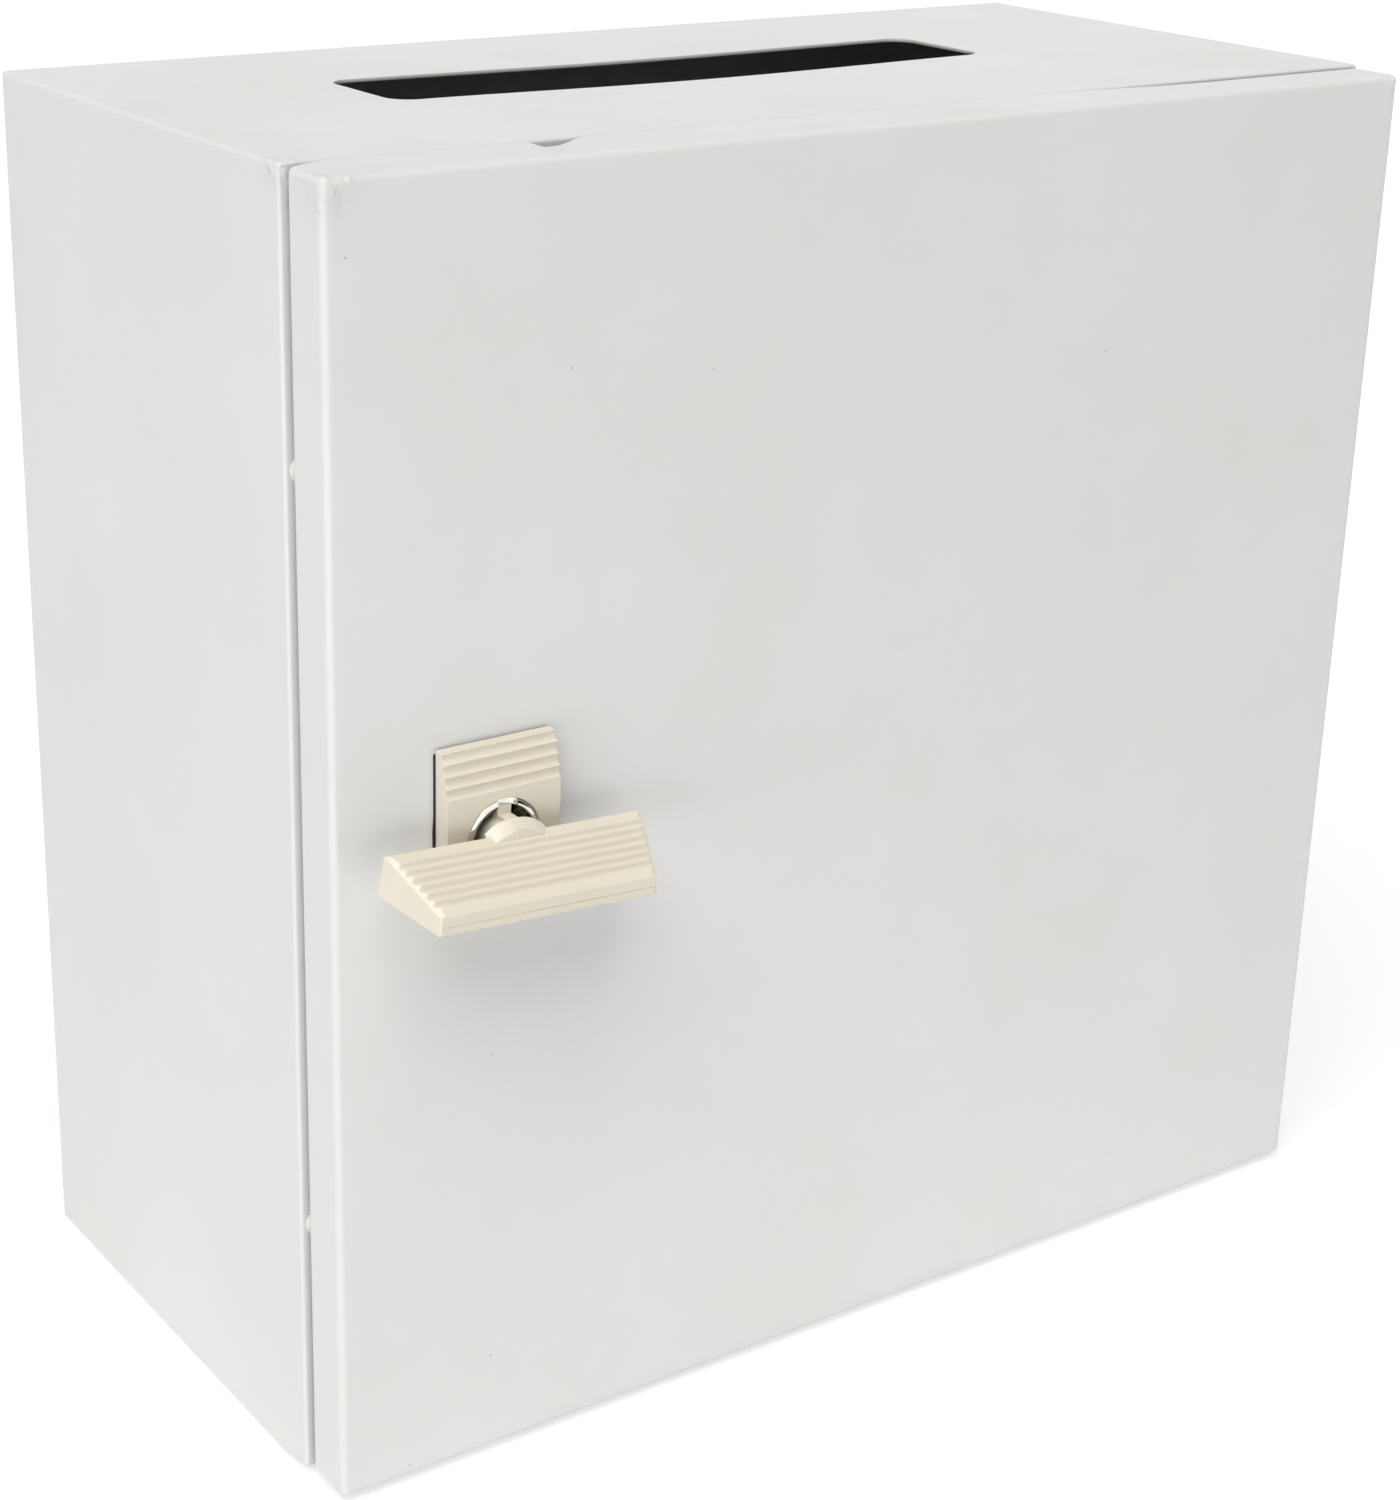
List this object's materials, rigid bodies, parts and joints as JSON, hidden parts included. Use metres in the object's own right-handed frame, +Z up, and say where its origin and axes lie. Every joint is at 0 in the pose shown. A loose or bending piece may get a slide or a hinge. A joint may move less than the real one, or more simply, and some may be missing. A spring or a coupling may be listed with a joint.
{
  "type": "sheet-steel wall box with top slot",
  "caption": "Shallow square sheet-steel box with a slot in its top, a folded door hinged at the side and a T-handle cam lock.",
  "frame": {"origin": "middle of the body's underside, half-way between the flange behind the door and the wall face", "axes": "+Z up, +X towards the hinge side, +Y towards the wall, so the door faces -Y"},
  "size_m": [0.3, 0.1747, 0.3],
  "materials": {
    "powder_coat": "fine matt-satin powder coat on steel",
    "zinc_plated_steel": "bright zinc plating",
    "galvanised_sheet": "galvanised, dull spangle",
    "copper_plated_steel": "copper-flashed weld stud",
    "spring_steel": "phosphated",
    "black_nylon": "moulded, matt",
    "grey_plug_plastic": "moulded, satin",
    "cream_plastic": "moulded, satin",
    "bright_plating": "nickel-plated die casting",
    "black_foam": "foamed polyurethane skin",
    "black_rubber": "matt"
  },
  "bodies": {
    "cabinet": {"body_shell": "powder_coat", "back_panel": "powder_coat", "mounting_plate": "galvanised_sheet", "plate_studs": "zinc_plated_steel", "plate_spacers": "black_nylon", "plate_washers": "zinc_plated_steel", "plate_nuts": "zinc_plated_steel", "body_earth_stud": "copper_plated_steel", "body_earth_washer": "zinc_plated_steel", "body_earth_nut": "zinc_plated_steel", "upper_hole_plug": "grey_plug_plastic", "lower_hole_plug": "grey_plug_plastic", "upper_hinge_bracket": "zinc_plated_steel", "lower_hinge_bracket": "zinc_plated_steel", "upper_hinge_pin": "zinc_plated_steel", "lower_hinge_pin": "zinc_plated_steel", "hinge_pin_clips": "spring_steel", "hinge_screws": "zinc_plated_steel", "hinge_nuts": "zinc_plated_steel"},
    "door": {"door_panel": "powder_coat", "door_gasket": "black_foam", "upper_hinge_leaf": "zinc_plated_steel", "lower_hinge_leaf": "zinc_plated_steel", "door_earth_stud": "copper_plated_steel", "door_earth_washer": "zinc_plated_steel", "door_earth_nut": "zinc_plated_steel", "lock_seal": "black_rubber", "lock_escutcheon": "cream_plastic", "lock_barrel": "bright_plating", "lock_washer": "zinc_plated_steel", "lock_nut": "zinc_plated_steel"},
    "lock_rotor": {"lock_insert": "bright_plating", "t_handle": "cream_plastic", "lock_cam": "zinc_plated_steel", "cam_washer": "zinc_plated_steel", "cam_screw": "zinc_plated_steel"}
  },
  "joints": [
    {"name": "door_hinge", "type": "hinge", "parent": "cabinet", "child": "door", "pos_m": [0.144, -0.0773, 0.1518], "axis": [0, 0, 1], "range_deg": [0, 120]},
    {"name": "handle_turn", "type": "hinge", "parent": "door", "child": "lock_rotor", "pos_m": [-0.1102, -0.0824, 0.1571], "axis": [0, 1, 0], "range_deg": [-3.1, 86.9]}
  ]
}
